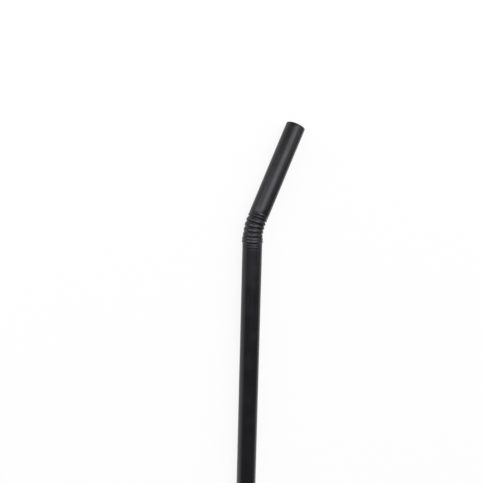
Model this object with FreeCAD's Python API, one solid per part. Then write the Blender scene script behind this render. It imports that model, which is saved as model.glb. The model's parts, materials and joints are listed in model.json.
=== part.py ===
import FreeCAD, Part
import math
import os
from FreeCAD import Vector

# A flexible drinking straw of thin extruded plastic, in millimetres.
# It lies as it comes to rest, with the plane of its bend level.
# The origin is the centre of the long leg's cut end, on the tube's axis.
# The long leg runs along +Y, the short leg bends over towards +X, and +Z is up.

# The tube
tube_diameter = 6.0
wall = 0.2
long_leg_length = 169.6
short_leg_length = 29.6

# The bend, which the open folds share. It leads them by a little, into the collar's last fold
bend_angle = 22.5
bend_lead = 1.1
open_fold_count = 6
open_fold_pitch = 1.1

# The shape of one open fold: a long cone that narrows upward, and a short steep step back out.
# A crest stands proud of the plain tube, and a root lies below it.
crest_rise = 0.07
root_depth = 0.4
crest_land = 0.14
root_land = 0.1
step_length = 0.2

# The collar, where the folds next to the long leg are still pushed into each other
nested_fold_count = 3
nested_fold_pitch = 0.8
collar_rise = 0.23
nested_groove_depth = 0.17
nested_groove_width = 0.16
collar_foot_length = 0.35

# The two faint rings that the forming tool leaves on the tube below the collar
forming_ring_count = 2
forming_ring_flank = 0.35
forming_ring_height = 0.1

tube_radius = tube_diameter / 2
bore_radius = tube_radius - wall
crest_radius = tube_radius + crest_rise
root_radius = tube_radius - root_depth
collar_radius = tube_radius + collar_rise
bend_radians = math.radians(bend_angle)
ring_pitch = 2 * forming_ring_flank
rings_length = forming_ring_count * ring_pitch
collar_length = collar_foot_length + nested_fold_count * nested_fold_pitch
straight_length = rings_length + collar_length
open_length = open_fold_count * open_fold_pitch
bend_radius = open_length / bend_radians
bend_start = straight_length - bend_lead
bend_end = bend_start + open_length
flex_length = straight_length + open_length


# Profile points are (distance along the axis from the top of the long leg, outer radius)

def forming_rings():
    """The faint rings, from the plain tube to the foot of the collar."""
    points = [(0.0, tube_radius)]
    ring_radius = tube_radius + forming_ring_height
    for i in range(forming_ring_count):
        ring_start = i * ring_pitch
        points.append((ring_start + forming_ring_flank, ring_radius))
        points.append((ring_start + ring_pitch, tube_radius))
    return points


def nested_folds():
    """The collar above the rings: closed folds that show only as fine grooves around it."""
    start = rings_length
    groove_radius = collar_radius - nested_groove_depth
    points = [(start + collar_foot_length, collar_radius)]
    for i in range(nested_fold_count - 1):
        groove = start + collar_foot_length + (i + 1) * nested_fold_pitch
        points.append((groove - nested_groove_width, collar_radius))
        points.append((groove, groove_radius))
        points.append((groove + nested_groove_width, collar_radius))
    points.append((straight_length, collar_radius))
    return points


def open_folds():
    """The open folds, each a cone down to its root and a steep step out to the next crest."""
    points = []
    for i in range(open_fold_count):
        top = straight_length + (i + 1) * open_fold_pitch
        root_end = top - step_length
        points.append((root_end - root_land, root_radius))
        points.append((root_end, root_radius))
        last = i == open_fold_count - 1
        crest = tube_radius if last else crest_radius
        points.append((top, crest))
        if not last:
            points.append((top + crest_land, crest))
    points.append((flex_length + crest_land, tube_radius))
    return points


def offset_line(a, b, distance):
    """A profile segment moved towards the axis by a distance square to itself."""
    length = math.hypot(b[0] - a[0], b[1] - a[1])
    shift_along = distance * (b[1] - a[1]) / length
    shift_in = distance * (b[0] - a[0]) / length
    moved_a = (a[0] + shift_along, a[1] - shift_in)
    moved_b = (b[0] + shift_along, b[1] - shift_in)
    return moved_a, moved_b


def meeting_point(first, second):
    """Where two lines of a profile cross, or their shared end if they run on straight."""
    (ax, ay), (bx, by) = first
    (cx, cy), (dx, dy) = second
    cross = (bx - ax) * (dy - cy) - (by - ay) * (dx - cx)
    nearly_straight = 1e-9
    if abs(cross) < nearly_straight:
        return first[1]
    share = ((cx - ax) * (dy - cy) - (cy - ay) * (dx - cx)) / cross
    return (ax + share * (bx - ax), ay + share * (by - ay))


def inner_profile(points, thickness):
    """The inside of a wall of even thickness under an outer profile."""
    lines = []
    for a, b in zip(points, points[1:]):
        lines.append(offset_line(a, b, thickness))
    inside = [lines[0][0]]
    for first, second in zip(lines, lines[1:]):
        inside.append(meeting_point(first, second))
    inside.append(lines[-1][1])
    return inside


def place_along(distance):
    """The turn and the centre of the tube's section at a distance above the long leg."""
    if distance <= bend_start:
        return 0.0, Vector(0, long_leg_length + distance, 0)
    turn = min((distance - bend_start) / bend_radius, bend_radians)
    past = max(distance - bend_end, 0.0)
    x = bend_radius * (1 - math.cos(turn)) + past * math.sin(turn)
    y = long_leg_length + bend_start + bend_radius * math.sin(turn) + past * math.cos(turn)
    return turn, Vector(x, y, 0)


def section(distance, radius):
    """A circle square to the tube's axis at a distance above the long leg."""
    turn, centre = place_along(distance)
    circle = Part.makeCircle(radius, Vector(0, 0, 0), Vector(0, 1, 0))
    turned = FreeCAD.Rotation(Vector(0, 0, 1), -math.degrees(turn))
    circle.Placement = FreeCAD.Placement(centre, turned)
    return Part.Wire([circle])


def skin(points):
    """A closed solid through the circles of a profile."""
    wires = [section(distance, radius) for distance, radius in points]
    return Part.makeLoft(wires, True, True)


def leg(start, end, radius, direction):
    """A straight length of tube, as a plain cylinder between two points."""
    return Part.makeCylinder(radius, (end - start).Length, start, direction)


def straw():
    outer_points = forming_rings() + nested_folds() + open_folds()
    inner_points = inner_profile(outer_points, wall)
    flex_end = outer_points[-1][0]
    turn, flex_top = place_along(flex_end)
    up_short_leg = Vector(math.sin(turn), math.cos(turn), 0)
    along_long_leg = Vector(0, 1, 0)
    foot = Vector(0, 0, 0)
    shoulder = Vector(0, long_leg_length, 0)
    mouth = flex_top + up_short_leg * (short_leg_length - crest_land)
    # The passage runs on past both cut ends, so that it opens cleanly
    spare = wall
    outside = skin(outer_points)
    outside = outside.fuse(leg(foot, shoulder, tube_radius, along_long_leg))
    outside = outside.fuse(leg(flex_top, mouth, tube_radius, up_short_leg))
    inside = skin(inner_points)
    low = foot - along_long_leg * spare
    high = mouth + up_short_leg * spare
    inside = inside.fuse(leg(low, shoulder, bore_radius, along_long_leg))
    inside = inside.fuse(leg(flex_top, high, bore_radius, up_short_leg))
    return outside.cut(inside), mouth, up_short_leg


body, mouth, up_short_leg = straw()
solid = body.Solids[0]
os.makedirs("parts", exist_ok=True)
solid.exportStep("parts/straw.step")

print("solids", len(body.Solids), "valid", solid.isValid(), "closed", solid.isClosed())
print("volume", round(solid.Volume, 2), "faces", len(solid.Faces))
print("mouth centre", [round(value, 4) for value in mouth])
print("mouth direction", [round(value, 6) for value in up_short_leg])
print("box", solid.BoundBox)
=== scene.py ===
# %% [markdown]
# A flexible drinking straw is one thin plastic tube. It is extruded as a long plain pipe, cut to
# length, and a short stretch of it is then rolled into folds, so that it bends without kinking.
# This file dresses the measured model of such a straw, lying on a pale table, seen from above.
# The looks come from three things: the true form of the folds, a satin black surface, soft light.

# %% Load the measured model as a fixed frame
import json
import math
import bpy
import numpy as np
from mathutils import Matrix, Vector, noise


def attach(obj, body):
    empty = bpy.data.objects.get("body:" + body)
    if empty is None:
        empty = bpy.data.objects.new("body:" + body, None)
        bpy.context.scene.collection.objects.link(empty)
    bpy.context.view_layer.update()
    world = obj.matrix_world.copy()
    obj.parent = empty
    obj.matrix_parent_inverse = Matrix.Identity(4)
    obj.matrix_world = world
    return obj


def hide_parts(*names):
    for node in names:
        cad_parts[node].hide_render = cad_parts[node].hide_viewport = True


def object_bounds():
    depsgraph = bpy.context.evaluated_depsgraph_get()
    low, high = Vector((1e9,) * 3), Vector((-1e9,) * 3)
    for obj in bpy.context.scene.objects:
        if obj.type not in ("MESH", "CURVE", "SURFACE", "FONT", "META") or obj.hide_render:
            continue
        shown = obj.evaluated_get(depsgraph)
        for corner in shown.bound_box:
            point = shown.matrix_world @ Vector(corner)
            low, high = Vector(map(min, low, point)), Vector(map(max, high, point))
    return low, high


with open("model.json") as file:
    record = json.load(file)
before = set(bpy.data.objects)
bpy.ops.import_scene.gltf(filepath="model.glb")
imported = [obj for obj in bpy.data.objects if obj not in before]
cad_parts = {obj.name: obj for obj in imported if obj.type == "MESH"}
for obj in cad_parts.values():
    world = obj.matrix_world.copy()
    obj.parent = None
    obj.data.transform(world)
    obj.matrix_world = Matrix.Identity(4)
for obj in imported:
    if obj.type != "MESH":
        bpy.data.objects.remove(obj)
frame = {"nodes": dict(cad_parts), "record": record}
cad_box = [list(corner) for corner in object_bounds()]
print("nodes in the frame:", sorted(frame["nodes"]))
print("box of the model in metres:", cad_box)

# %% [markdown]
# The model's record names the places where the straw meets other things: its bore at both ends and
# its outside. The tube's radius, its wall, the length of the long leg and the way that the mouth
# points are read from there, so that this file can't drift away from the measured part.

# %% Read the tube's sizes from the record
MM = 0.001
mounts = {mount["name"]: mount for mount in frame["record"]["mounts"]}
tube_radius = mounts["long_leg_outside"]["dims"]["r_mm"] * MM
bore_radius = mounts["long_leg_bore"]["dims"]["r_mm"] * MM
wall = tube_radius - bore_radius
long_leg_length = mounts["long_leg_outside"]["dims"]["length_mm"] * MM
mouth = Vector(mounts["short_leg_bore"]["pos_m"])
mouth_way = Vector(mounts["short_leg_bore"]["axis"])
bend_angle = math.atan2(mouth_way.x, mouth_way.y)
print("tube radius", tube_radius, "wall", round(wall, 6))
print("bend in degrees", round(math.degrees(bend_angle), 2))

# %% [markdown]
# The flex section has three kinds of relief, from the long leg upward: two faint rings where the
# forming tool took hold, a collar of folds that are still pushed into each other, and the open
# folds of the bend. An open fold isn't symmetrical. It is a long cone that narrows upward and a
# short steep step back out, which is what lets one fold slide into the next when the straw is
# pushed together. All places are distances above the top of the long leg, along the tube's axis.

# %% Sizes of the rings and the collar
ring_places = [1.1 * MM, 1.75 * MM]
ring_heights = [0.03 * MM, 0.04 * MM]
ring_half_width = 0.3 * MM
ring_foot_depth = 0.02 * MM

step_length = 0.19 * MM
collar_radius = tube_radius + 0.21 * MM
collar_steps = [2.3 * MM, 3.28 * MM]
collar_land = 0.34 * MM
collar_dip = 0.09 * MM
collar_end = 4.05 * MM
second_step_share = 0.6
second_land_share = 0.5
print("collar in mm:", round((collar_end - collar_steps[0]) / MM, 2), "long")

# %% [markdown]
# A real straw's folds are pulled open by hand, so no two are the same. Each has its own place, the
# depth of its groove, and the share of its length that its nearly flat crest takes. From the crest
# on, the cone falls in two parts, a gentle one and a steeper one down to the next groove. That
# bulge is what makes a thin bright line on the crest and a soft shade below it. The two values
# that end in fall say how much of the cone's whole fall is used up at the end of the crest and of
# the gentle part.

# %% Sizes of the open folds and the bend
crest_radius = tube_radius + 0.07 * MM
fold_roots = [4.04 * MM, 5.42 * MM, 6.81 * MM, 8.22 * MM, 9.72 * MM, 10.58 * MM]
root_depths = [0.06 * MM, 0.17 * MM, 0.21 * MM, 0.25 * MM, 0.27 * MM, 0.13 * MM]
crest_shares = [0.46, 0.5, 0.5, 0.4, 0.5]
root_land = 0.07 * MM
crest_fall = 0.08
gentle_share = 0.27
gentle_fall = 0.4

shoulder_lip = 0.05 * MM
shoulder_dip = 0.035 * MM
shoulder_dip_share = 0.55
shoulder_end = 11.95 * MM

bend_start = 3.05 * MM
bend_length = 6.6 * MM
bend_radius = bend_length / bend_angle
bend_end = bend_start + bend_length
print("flex section in mm:", round(shoulder_end / MM, 2), "long")
print("radius of the bend in mm:", round(bend_radius / MM, 2))

# %% [markdown]
# The centre line is straight, then a short arc, then straight again. Every point of the tube is
# named by its distance along that line and by its angle round the tube. Working in these unbent
# coordinates keeps each fold simple: it is drawn on a straight tube and bent last. A curve modifier
# could bend the tube too, but then the places would no longer be exact to the measured model.

# %% Follow the centre line
def along_centre_line(distance):
    """The turn of the tube and the centre of its section, at a distance above the long leg."""
    if distance <= bend_start:
        return 0.0, Vector((0.0, long_leg_length + distance, 0.0))
    turn = min((distance - bend_start) / bend_radius, bend_angle)
    past = max(distance - bend_end, 0.0)
    x = bend_radius * (1 - math.cos(turn)) + past * math.sin(turn)
    y = long_leg_length + bend_start + bend_radius * math.sin(turn) + past * math.cos(turn)
    return turn, Vector((x, y, 0.0))


end_of_arc = along_centre_line(bend_end)[1]
mouth_distance = bend_end + (mouth - end_of_arc).length
print("mouth at", round(mouth_distance / MM, 2), "mm above the long leg")

# %% [markdown]
# The section of the wall is a line of corners, as (distance, radius). It is drawn first with sharp
# corners, in the order in which the tube is seen: rings, collar, folds, shoulder.

# %% Draw the corners of the rings and the collar
def ring_corners():
    """The two faint rings below the collar, each with a slight groove at its foot."""
    first_foot = ring_places[0] - 2 * ring_half_width
    corners = [(0.0, tube_radius), (first_foot, tube_radius)]
    for place, height in zip(ring_places, ring_heights):
        corners.append((place - ring_half_width, tube_radius - ring_foot_depth))
        corners.append((place, tube_radius + height))
        corners.append((place + ring_half_width, tube_radius))
    return corners


def collar_corners():
    """The closed folds, which show as two shallow steps round the collar."""
    first, second = collar_steps
    second_top = second + second_step_share * step_length
    second_end = second + step_length + second_land_share * collar_land
    return [
        (first, tube_radius),
        (first + step_length, collar_radius),
        (first + step_length + collar_land, collar_radius),
        (second, collar_radius - collar_dip),
        (second_top, collar_radius),
        (second_end, collar_radius),
        (collar_end, collar_radius - collar_dip),
    ]


print("corners below the folds:", len(ring_corners() + collar_corners()))

# %% Draw the corners of the open folds
def fold_corners():
    """The open folds, up to the shoulder where the short leg begins."""
    corners = []
    last = len(fold_roots) - 1
    for i, (root, depth) in enumerate(zip(fold_roots, root_depths)):
        crest = root + root_land + step_length
        corners.append((root, tube_radius - depth))
        corners.append((root + root_land, tube_radius - depth))
        if i == last:
            corners.append((crest, tube_radius + shoulder_lip))
        else:
            length = fold_roots[i + 1] - crest
            fall = crest_radius - tube_radius + root_depths[i + 1]
            share = crest_shares[i]
            gentle_end = crest + (share + gentle_share) * length
            corners.append((crest, crest_radius))
            corners.append((crest + share * length, crest_radius - crest_fall * fall))
            corners.append((gentle_end, crest_radius - gentle_fall * fall))
    dip = crest + shoulder_dip_share * (shoulder_end - crest)
    corners.append((dip, tube_radius - shoulder_dip))
    corners.append((shoulder_end, tube_radius))
    return corners


outer_corners = ring_corners() + collar_corners() + fold_corners()
print("corners in the flex section:", len(outer_corners))

# %% [markdown]
# The inside of the tube follows the outside at one wall's distance. A solidify modifier would do
# this roughly. Moving each straight piece of the section square to itself, and meeting the moved
# pieces again, keeps the film equally thick everywhere.

# %% Offset the section to the inside of the wall
nearly_parallel = 1e-15


def moved_inward(a, b, distance):
    """A straight piece of the section, moved towards the axis."""
    length = math.hypot(b[0] - a[0], b[1] - a[1])
    along = distance * (b[1] - a[1]) / length
    inward = distance * (b[0] - a[0]) / length
    return (a[0] + along, a[1] - inward), (b[0] + along, b[1] - inward)


def crossing(first, second):
    """Where two moved pieces meet."""
    (ax, ay), (bx, by) = first
    (cx, cy), (dx, dy) = second
    slant = (bx - ax) * (dy - cy) - (by - ay) * (dx - cx)
    if abs(slant) < nearly_parallel:
        return first[1]
    share = ((cx - ax) * (dy - cy) - (cy - ay) * (dx - cx)) / slant
    return (ax + share * (bx - ax), ay + share * (by - ay))


def inside_of(corners):
    """The corners of the wall's inner face."""
    pieces = [moved_inward(a, b, wall) for a, b in zip(corners, corners[1:])]
    meets = [crossing(a, b) for a, b in zip(pieces, pieces[1:])]
    return [pieces[0][0]] + meets + [pieces[-1][1]]


inner_corners = inside_of(outer_corners)
print("inner corners:", len(inner_corners))

# %% [markdown]
# Real folds are pressed from soft film, so no corner is sharp. One way to round them would be a
# bevel modifier, but on hundreds of close rings it would collide with itself. Rounding the line of
# corners, before it becomes a mesh, is exact and cheap. Long pieces are divided here as well, so
# that the unevenness of the film has points to move.

# %% Round every corner with a short curve
corner_round = 0.13 * MM
most_of_a_piece = 0.48
points_per_corner = 6
longest_piece = 0.16 * MM


def rounded(corners):
    """The same line with each corner replaced by a small smooth curve."""
    line = [corners[0]]
    for before, corner, after in zip(corners, corners[1:], corners[2:]):
        b, c, a = (np.array(point) for point in (before, corner, after))
        room_before = most_of_a_piece * np.linalg.norm(c - b)
        room_after = most_of_a_piece * np.linalg.norm(a - c)
        reach = min(corner_round, room_before, room_after)
        start = c + (b - c) / np.linalg.norm(b - c) * reach
        end = c + (a - c) / np.linalg.norm(a - c) * reach
        for t in np.linspace(0, 1, points_per_corner):
            point = (1 - t) ** 2 * start + 2 * t * (1 - t) * c + t ** 2 * end
            line.append((float(point[0]), float(point[1])))
    line.append(corners[-1])
    return line


def filled_in(line):
    """The same line with its long straight pieces divided."""
    full = [line[0]]
    for a, b in zip(line, line[1:]):
        steps = max(1, math.ceil(math.hypot(b[0] - a[0], b[1] - a[1]) / longest_piece))
        for i in range(1, steps + 1):
            share = i / steps
            full.append((a[0] + share * (b[0] - a[0]), a[1] + share * (b[1] - a[1])))
    return full


outer_flex = filled_in(rounded(outer_corners))
inner_flex = filled_in(rounded(inner_corners))
print("rings in the flex section:", len(outer_flex), "outside,", len(inner_flex), "inside")

# %% [markdown]
# The plain legs need few rings for their shape, but a real tube isn't perfectly round or straight,
# and its long soft reflection shows that. So they get a ring about each millimetre, for a very
# slight waviness. The cut ends are square, with the tiny round that a rotary knife and handling
# leave on the edge.

# %% Join the whole section into one closed loop
leg_ring_spacing = 1.2 * MM
inner_ring_spacing = 4.0 * MM
cut_round = 0.035 * MM
cut_round_steps = 3


def leg_line(start, end, radius, spacing):
    """Points along a plain leg, without its first and last point."""
    count = max(2, math.ceil(abs(end - start) / spacing))
    return [(start + (end - start) * i / count, radius) for i in range(1, count)]


def cut_edge(end, radius, way, side):
    """A quarter round between a leg's face and its cut end."""
    points = []
    for i in range(cut_round_steps + 1):
        angle = math.pi / 2 * i / cut_round_steps
        distance = end - way * cut_round * (1 - math.sin(angle))
        points.append((distance, radius - side * cut_round * (1 - math.cos(angle))))
    return points


lower_end = -long_leg_length
above_cut = lower_end + cut_round
below_mouth = mouth_distance - cut_round
outside = list(reversed(cut_edge(lower_end, tube_radius, -1, 1)))
outside += leg_line(above_cut, 0.0, tube_radius, leg_ring_spacing)
outside += outer_flex
outside += leg_line(outer_flex[-1][0], below_mouth, tube_radius, leg_ring_spacing)
outside += cut_edge(mouth_distance, tube_radius, 1, 1)
inside = list(reversed(cut_edge(mouth_distance, bore_radius, 1, -1)))
inside += leg_line(below_mouth, inner_flex[-1][0], bore_radius, inner_ring_spacing)
inside += list(reversed(inner_flex))
inside += leg_line(inner_flex[0][0], above_cut, bore_radius, inner_ring_spacing)
inside += cut_edge(lower_end, bore_radius, -1, -1)
section_loop = outside + inside
print("rings in all:", len(section_loop))

# %% [markdown]
# No two folds of a real straw are alike all the way round. The film gives a little more on one
# side, a crest leans, a fold is pressed in further. Noise that is read in the unbent coordinates
# does both: it leans a point along the tube, either way, and lets it sag towards the axis. Half of
# a noise plus a half is never below 0, so nothing sags outward, and the straw stays within its
# measured size. No move is more than about a tenth of a millimetre. The noise has no random start,
# so every run gives the same straw.

# %% Add the unevenness of a pressed tube
fold_sag = 0.075 * MM
fold_lean = 0.09 * MM
fold_wave_length = 1.6 * MM
fold_waves_round = 1.3
leg_sag = 0.03 * MM
leg_wave_length = 9.0 * MM
leg_waves_round = 0.8
lean_start = Vector((7.0, 3.0, 0.0))
leg_start = Vector((0.0, 11.0, 5.0))


def flex_share(distance):
    """1 within the open folds, falling to 0 on the plain legs."""
    rise = np.clip((distance - collar_steps[0]) / (collar_end - collar_steps[0]), 0, 1)
    fall = np.clip((shoulder_end - distance) / (shoulder_end - fold_roots[-1]), 0, 1)
    return float(rise * fall)


def uneven(distance, radius, angle):
    """A point of the straight tube, moved as soft film would be."""
    share = flex_share(distance)
    c, s = math.cos(angle), math.sin(angle)
    at_fold = Vector((fold_waves_round * c, fold_waves_round * s, distance / fold_wave_length))
    at_leg = Vector((leg_waves_round * c, leg_waves_round * s, distance / leg_wave_length))
    lean = fold_lean * share * noise.noise(at_fold + lean_start)
    sag = fold_sag * share * (0.5 + 0.5 * noise.noise(at_fold))
    sag += leg_sag * (0.5 + 0.5 * noise.noise(at_leg + leg_start))
    return distance + lean, radius - sag


sample_sag = tube_radius - uneven(fold_roots[2], tube_radius, 0.0)[1]
print("sag in the middle fold in mm:", round(sample_sag / MM, 3))

# %% [markdown]
# The closed loop of the section is now swept round the tube. Because the loop goes up the outside,
# over the mouth, down the inside and back over the lower end, the result is a closed skin with a
# real wall. Each point also keeps its unbent place as an attribute, so that the finish can run
# along the straw even through the bend.

# %% Work out the points and faces of the straw
points_round = 112


def straw_points():
    """World places and unbent places of all points, ring by ring."""
    world, unbent = [], []
    for distance, radius in section_loop:
        for k in range(points_round):
            angle = 2 * math.pi * k / points_round
            d, r = uneven(distance, radius, angle)
            turn, centre = along_centre_line(d)
            across = Vector((math.cos(turn), -math.sin(turn), 0.0)) * (r * math.cos(angle))
            point = centre + across + Vector((0.0, 0.0, r * math.sin(angle)))
            world.append(point)
            unbent.append((r * math.cos(angle), r * math.sin(angle), d))
    return world, unbent


def straw_faces():
    """Four-sided faces between each ring and the next, the last one joined to the first."""
    faces = []
    rings = len(section_loop)
    for i in range(rings):
        here, there = i * points_round, (i + 1) % rings * points_round
        for k in range(points_round):
            n = (k + 1) % points_round
            faces.append((here + k, there + k, there + n, here + n))
    return faces


print("points round the tube:", points_round)

# %% Sweep the loop into the straw's mesh
def make_straw():
    """The straw as one piece, with its unbent places kept on the points."""
    world, unbent = straw_points()
    mesh = bpy.data.meshes.new("flexible_straw")
    mesh.from_pydata([tuple(point) for point in world], [], straw_faces())
    place = mesh.attributes.new("unbent_place", "FLOAT_VECTOR", "POINT")
    place.data.foreach_set("vector", np.array(unbent, dtype=np.float32).ravel())
    mesh.shade_smooth()
    mesh.validate()
    mesh.update()
    piece = bpy.data.objects.new("flexible_straw", mesh)
    bpy.context.scene.collection.objects.link(piece)
    return piece


straw = make_straw()
print("faces of the straw:", len(straw.data.polygons))

# %% [markdown]
# A closed mesh has a volume, and its sign says whether the faces look out or in. Light and export
# both need them to look out, so this check is worth its few lines.

# %% Make sure that the faces look outward
def signed_volume(mesh):
    """The volume inside a closed mesh of four-sided faces, negative if they look inward."""
    points = np.empty(len(mesh.vertices) * 3)
    mesh.vertices.foreach_get("co", points)
    points = points.reshape(-1, 3)
    corners = np.array([list(face.vertices) for face in mesh.polygons])
    a, b, c, d = (points[corners[:, i]] for i in range(4))
    first = np.einsum("ij,ij->i", a, np.cross(b, c))
    second = np.einsum("ij,ij->i", a, np.cross(c, d))
    return float((first + second).sum() / 6)


if signed_volume(straw.data) < 0:
    straw.data.flip_normals()
print("volume in cubic millimetres:", round(signed_volume(straw.data) / MM ** 3, 1))

# %% [markdown]
# The finish is written as sums. A small class wraps a socket of a node and gives it plus, minus and
# times, with a number on either side. The rubbed spots can then be written as cloud * gain - start,
# and their opposite as 1 - rubbed, instead of a chain of nodes placed by hand.

# %% A wire that takes part in sums
class Wire:
    """One output socket, with arithmetic."""

    def __init__(self, finish, socket):
        self.finish = finish
        self.socket = socket

    def math(self, operation, first, second):
        return self.finish.node("ShaderNodeMath", {"operation": operation}, {0: first, 1: second})

    def __add__(self, other):
        return self.math("ADD", self, other)

    def __radd__(self, other):
        return self.math("ADD", other, self)

    def __sub__(self, other):
        return self.math("SUBTRACT", self, other)

    def __rsub__(self, other):
        return self.math("SUBTRACT", other, self)

    def __mul__(self, other):
        return self.math("MULTIPLY", self, other)

    def __rmul__(self, other):
        return self.math("MULTIPLY", other, self)

    def clamped(self):
        return self.finish.node("ShaderNodeClamp", {}, {"Value": self})


print("wires can be added, subtracted and multiplied")

# %% A finish with one method that adds its nodes
class Finish:
    """A material and the one method that adds nodes to it."""

    def __init__(self, name):
        self.material = bpy.data.materials.new(name)
        self.material.use_nodes = True
        self.tree = self.material.node_tree
        self.tree.nodes.clear()
        self.output = self.tree.nodes.new("ShaderNodeOutputMaterial")

    def node(self, kind, settings, inputs, output=0):
        """A new node of a kind, with its settings made before its sockets are filled."""
        made = self.tree.nodes.new(kind)
        for name, value in settings.items():
            setattr(made, name, value)
        for name, value in inputs.items():
            if isinstance(value, Wire):
                self.tree.links.new(value.socket, made.inputs[name])
            else:
                made.inputs[name].default_value = value
        return Wire(self, made.outputs[output])

    def show(self, shader):
        self.tree.links.new(shader.socket, self.output.inputs["Surface"])
        return self.material


print("finish helpers ready")

# %% [markdown]
# Black polypropylene straws are dyed right through and come off the line with a satin skin: not
# glossy, but smooth enough for a soft band of light. Close up, the skin has fine draw lines along
# the tube from the extrusion die, a slight orange peel, and rubbed spots from lying loose in its
# carton. Each of these could be an image, but an image would stretch in the folds. Each gets its
# own noise instead, read along the unbent straw where the real mark runs along it.

# %% Colour and sheen of the satin black plastic
black = (0.0038, 0.0037, 0.0046, 1.0)
rubbed_black = (0.0072, 0.0071, 0.0082, 1.0)
satin = 0.31
plastic_ior = 1.45
sheen_tint = (0.96, 0.95, 1.0, 1.0)
print("satin roughness", satin, "refraction", plastic_ior)

# %% [markdown]
# A noise runs from 0 to 1 about its middle, so taking the middle away leaves a push to both sides.
# The scales are in waves per metre. Lines that run along the tube come from squeezing the noise's
# place in that direction, which draws each grain out to about thirty times its width.

# %% Sizes of the marks on the plastic
lengthwise = (1.0, 1.0, 0.035)
draw_line_scale = 5200.0
coarse_line_scale = 1300.0
peel_scale = 2600.0
cloud_scale = 240.0
fine_detail = 3.0
soft_detail = 2.0
noise_middle = 0.5

rub_gain = 3.2
rub_start = 1.35
line_roughness = 0.10
cloud_roughness = 0.16
draw_line_height = 0.35
coarse_line_height = 0.5
peel_height = 0.3
grain_strength = 0.25
grain_depth = 0.03 * MM
print("draw lines in mm:", round(1 / draw_line_scale / MM, 2), "apart")

# %% The satin black plastic
mix_share, mix_from, mix_to, mixed_colour = 0, 6, 7, 2


def satin_black():
    """Dyed plastic with lines along the tube, a slight peel and rubbed spots."""
    finish = Finish("satin_black_plastic")

    def grain(place, scale, detail):
        inputs = {"Vector": place, "Scale": scale, "Detail": detail}
        return finish.node("ShaderNodeTexNoise", {}, inputs)

    unbent = {"attribute_name": "unbent_place"}
    place = finish.node("ShaderNodeAttribute", unbent, {}, output="Vector")
    stretched = {0: place, 1: lengthwise}
    along = finish.node("ShaderNodeVectorMath", {"operation": "MULTIPLY"}, stretched)
    draw_lines = grain(along, draw_line_scale, fine_detail)
    coarse = grain(along, coarse_line_scale, soft_detail)
    peel = grain(place, peel_scale, soft_detail)
    cloud = grain(place, cloud_scale, fine_detail)

    roughness = satin + (draw_lines - noise_middle) * line_roughness
    roughness = roughness + (coarse - noise_middle) * line_roughness
    roughness = roughness + (cloud - noise_middle) * cloud_roughness
    rubbed = (cloud * rub_gain - rub_start).clamped()
    blend = {mix_share: rubbed, mix_from: black, mix_to: rubbed_black}
    colour = finish.node("ShaderNodeMix", {"data_type": "RGBA"}, blend, output=mixed_colour)
    height = draw_lines * draw_line_height + coarse * coarse_line_height + peel * peel_height
    relief = {"Strength": grain_strength, "Distance": grain_depth, "Height": height}
    skin = {
        "Base Color": colour,
        "Roughness": roughness,
        "Normal": finish.node("ShaderNodeBump", {}, relief),
        "IOR": plastic_ior,
        "Specular Tint": sheen_tint,
    }
    return finish.show(finish.node("ShaderNodeBsdfPrincipled", {}, skin))


straw.data.materials.append(satin_black())
print("finish on the straw:", straw.data.materials[0].name)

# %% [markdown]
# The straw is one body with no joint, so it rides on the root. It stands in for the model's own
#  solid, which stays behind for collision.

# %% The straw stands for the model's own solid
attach(straw, "root")
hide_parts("straw")
print("the straw rides on the root body")

# %% [markdown]
# The table is a plain white sheet at the height of the model's lowest point, the collar. A white
# floor lit by lamps alone is either grey or needs too much light on the straw. So most of its white
# is its own, as the eye and the plastic's reflections see it. The rest is lit, and keeps the soft
# shadow that tells the eye that the straw lies on something.

# %% The pale table
floor_half_side = 2.5
floor_white = (0.93, 0.93, 0.93, 1.0)
own_white = 0.87
pure_white = (1.0, 1.0, 1.0, 1.0)


def table_white():
    """White that is partly its own and partly lit."""
    finish = Finish("table_white")

    def seen_by(ray):
        return finish.node("ShaderNodeLightPath", {}, {}, output=ray)

    seen = seen_by("Is Camera Ray") + seen_by("Is Glossy Ray") + seen_by("Is Transmission Ray")
    lit = finish.node("ShaderNodeBsdfDiffuse", {}, {"Color": floor_white})
    own = finish.node("ShaderNodeEmission", {}, {"Color": pure_white, "Strength": 1.0})
    both = {0: seen.clamped() * own_white, 1: lit, 2: own}
    return finish.show(finish.node("ShaderNodeMixShader", {}, both))


def make_table():
    """One large face under the straw."""
    h = floor_half_side
    z = cad_box[0][2]
    mesh = bpy.data.meshes.new("table")
    mesh.from_pydata([(-h, -h, z), (h, -h, z), (h, h, z), (-h, h, z)], [], [(0, 1, 2, 3)])
    mesh.materials.append(table_white())
    piece = bpy.data.objects.new("table", mesh)
    bpy.context.scene.collection.objects.link(piece)
    return piece


make_table()
print("table at height", round(cad_box[0][2], 5))

# %% [markdown]
# A satin tube shows a light as a band along itself, and only where light, tube and eye agree. The
# eye is nearly above the bend, so the short leg and the folds mirror what hangs on the mouth's
# side, and the long leg mirrors the other side. Every light therefore leans towards the mouth, and
# the long leg stays almost black, with only its edges picked out by the white table.
# The strip gives the bright band on the short leg and the line on each crest. The wide box greys
# the cones below the crests, the left box lights the left flank, and a weak one its opposite. The
# far box reaches the steep parts of the folds, towards their grooves.

# %% Soft light
bend_middle = along_centre_line((bend_start + bend_end) / 2)[1]


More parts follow.
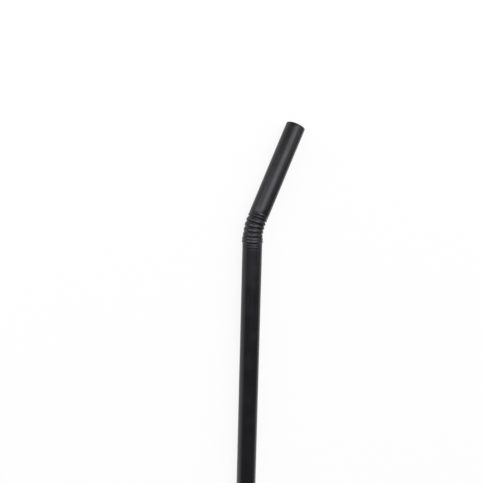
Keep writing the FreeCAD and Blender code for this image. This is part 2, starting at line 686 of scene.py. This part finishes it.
def softbox(name, way, distance, size, power):
    """An area light that looks at the middle of the bend from a given way."""
    lamp = bpy.data.lights.new(name, "AREA")
    lamp.shape = "RECTANGLE"
    lamp.size, lamp.size_y = size
    lamp.energy = power
    piece = bpy.data.objects.new(name, lamp)
    direction = Vector(way).normalized()
    piece.location = bend_middle + direction * distance
    piece.rotation_euler = direction.to_track_quat("Z", "Y").to_euler()
    bpy.context.scene.collection.objects.link(piece)


softbox("overhead_strip", (0.0, 0.23, 0.97), 1.0, (1.15, 0.35), 4.4)
softbox("wide_softbox", (-0.05, 0.37, 0.93), 1.05, (2.2, 0.45), 3.3)
softbox("left_softbox", (-0.84, 0.32, 0.44), 1.0, (0.45, 0.8), 3.1)
softbox("right_fill", (0.82, 0.12, 0.56), 1.0, (0.4, 0.5), 0.8)
softbox("far_softbox", (0.35, 0.80, 0.50), 1.1, (1.8, 0.8), 4.6)
print("light on the bend at", [round(value, 4) for value in bend_middle])

# %% [markdown]
# The rest of the room is a dim even white. It keeps the sides that no softbox reaches from going
# quite black, as the walls of a studio do.

# %% A dim white room
room_strength = 0.22
world = bpy.data.worlds.new("white_room")
bpy.context.scene.world = world
world.use_nodes = True
room = world.node_tree.nodes["Background"]
room.inputs["Color"].default_value = pure_white
room.inputs["Strength"].default_value = room_strength
print("room strength", room_strength)

# %% [markdown]
# The camera is close to the straw, looking steeply down on it, with the long leg running down the
# picture. That nearness is what makes both legs taper away from the bend. Its place, its aim and
# its small roll were found by fitting the edges of both legs and the rim of the mouth.

# %% The camera
camera_place = Vector((-48.0, 183.6, 129.5)) * MM
aim = Vector((-3.46, 172.34, 0.0)) * MM
picture_up = Vector((0.0036, 0.9964, -0.0857))
image_width = 483
focal_pixels = 460.0
nearest, furthest = 0.005, 20.0

lens = bpy.data.cameras.new("view_from_above")
lens.sensor_width = 36.0
lens.lens = lens.sensor_width * focal_pixels / image_width
lens.clip_start = nearest
lens.clip_end = furthest
camera = bpy.data.objects.new("view_from_above", lens)
back = (camera_place - aim).normalized()
right = picture_up.cross(back).normalized()
up = back.cross(right)
turned = Matrix((right, up, back)).transposed().to_4x4()
camera.matrix_world = Matrix.Translation(camera_place) @ turned
bpy.context.scene.collection.objects.link(camera)
bpy.context.scene.camera = camera
bpy.context.scene.view_settings.view_transform = "Standard"
print("focal length in mm:", round(lens.lens, 2))
